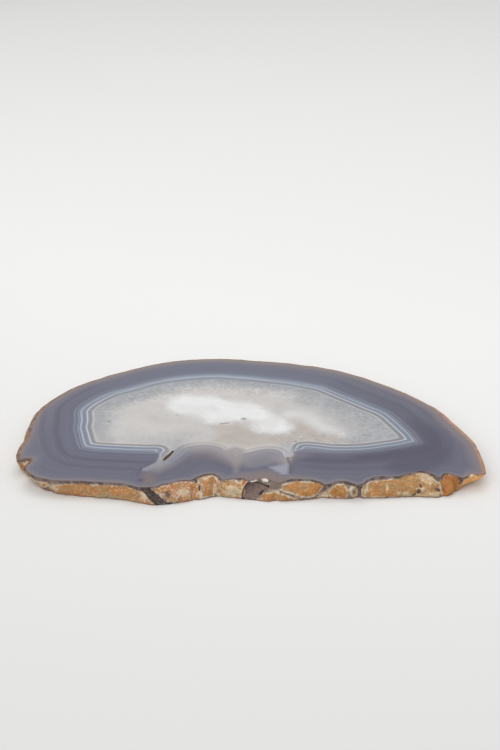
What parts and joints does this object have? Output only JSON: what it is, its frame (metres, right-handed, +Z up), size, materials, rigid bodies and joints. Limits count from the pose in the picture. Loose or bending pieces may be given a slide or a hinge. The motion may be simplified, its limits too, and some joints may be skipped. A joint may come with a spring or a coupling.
{
  "type": "agate slice",
  "caption": "Flat half-moon slice of banded agate with a quartz centre and a rough rind on its edge, for display, as a coaster or as a paperweight",
  "frame": {"origin": "On the supporting surface, under the middle of the stone's box", "axes": "+X along the length to the right end, +Y from the wavy front edge to the round back edge, +Z up through the thickness"},
  "size_m": [0.1511, 0.0995, 0.0055],
  "materials": {
    "agate": "polished faces with grey and blue-white bands round clear and milky quartz; rough tan and orange rind on the edge"
  },
  "bodies": {
    "root": {"agate_slice": "agate"}
  },
  "joints": []
}
